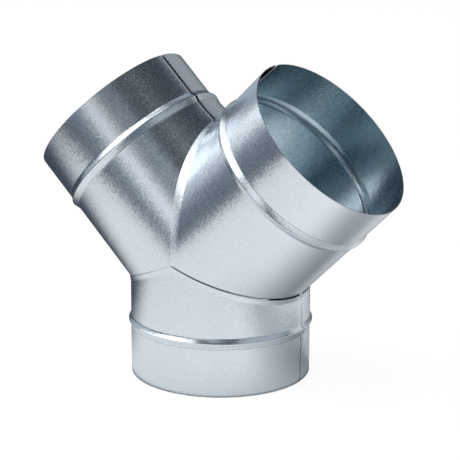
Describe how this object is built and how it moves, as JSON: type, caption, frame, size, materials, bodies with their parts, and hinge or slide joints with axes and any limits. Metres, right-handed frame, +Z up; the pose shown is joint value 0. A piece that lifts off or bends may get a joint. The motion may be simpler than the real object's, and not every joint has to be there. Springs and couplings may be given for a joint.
{
  "type": "duct wye",
  "caption": "Sheet-metal duct wye: a short round inlet splits into equal round branches at 45 degrees, each collar with a stop bead.",
  "frame": {"origin": "centre of the inlet rim, on the plane that the wye stands on", "axes": "+Z up the inlet's axis; the branches lean 45 degrees from it in the XZ plane, the left one towards -X and the right one towards +X; the picture looks from -Y and a little from +X"},
  "size_m": [0.3108, 0.153, 0.2628],
  "materials": {
    "galvanised_sheet": "bright galvanised sheet with a fine spangle"
  },
  "bodies": {
    "root": {"inlet_tube": "galvanised_sheet", "left_branch_tube": "galvanised_sheet", "right_branch_tube": "galvanised_sheet"}
  },
  "joints": []
}
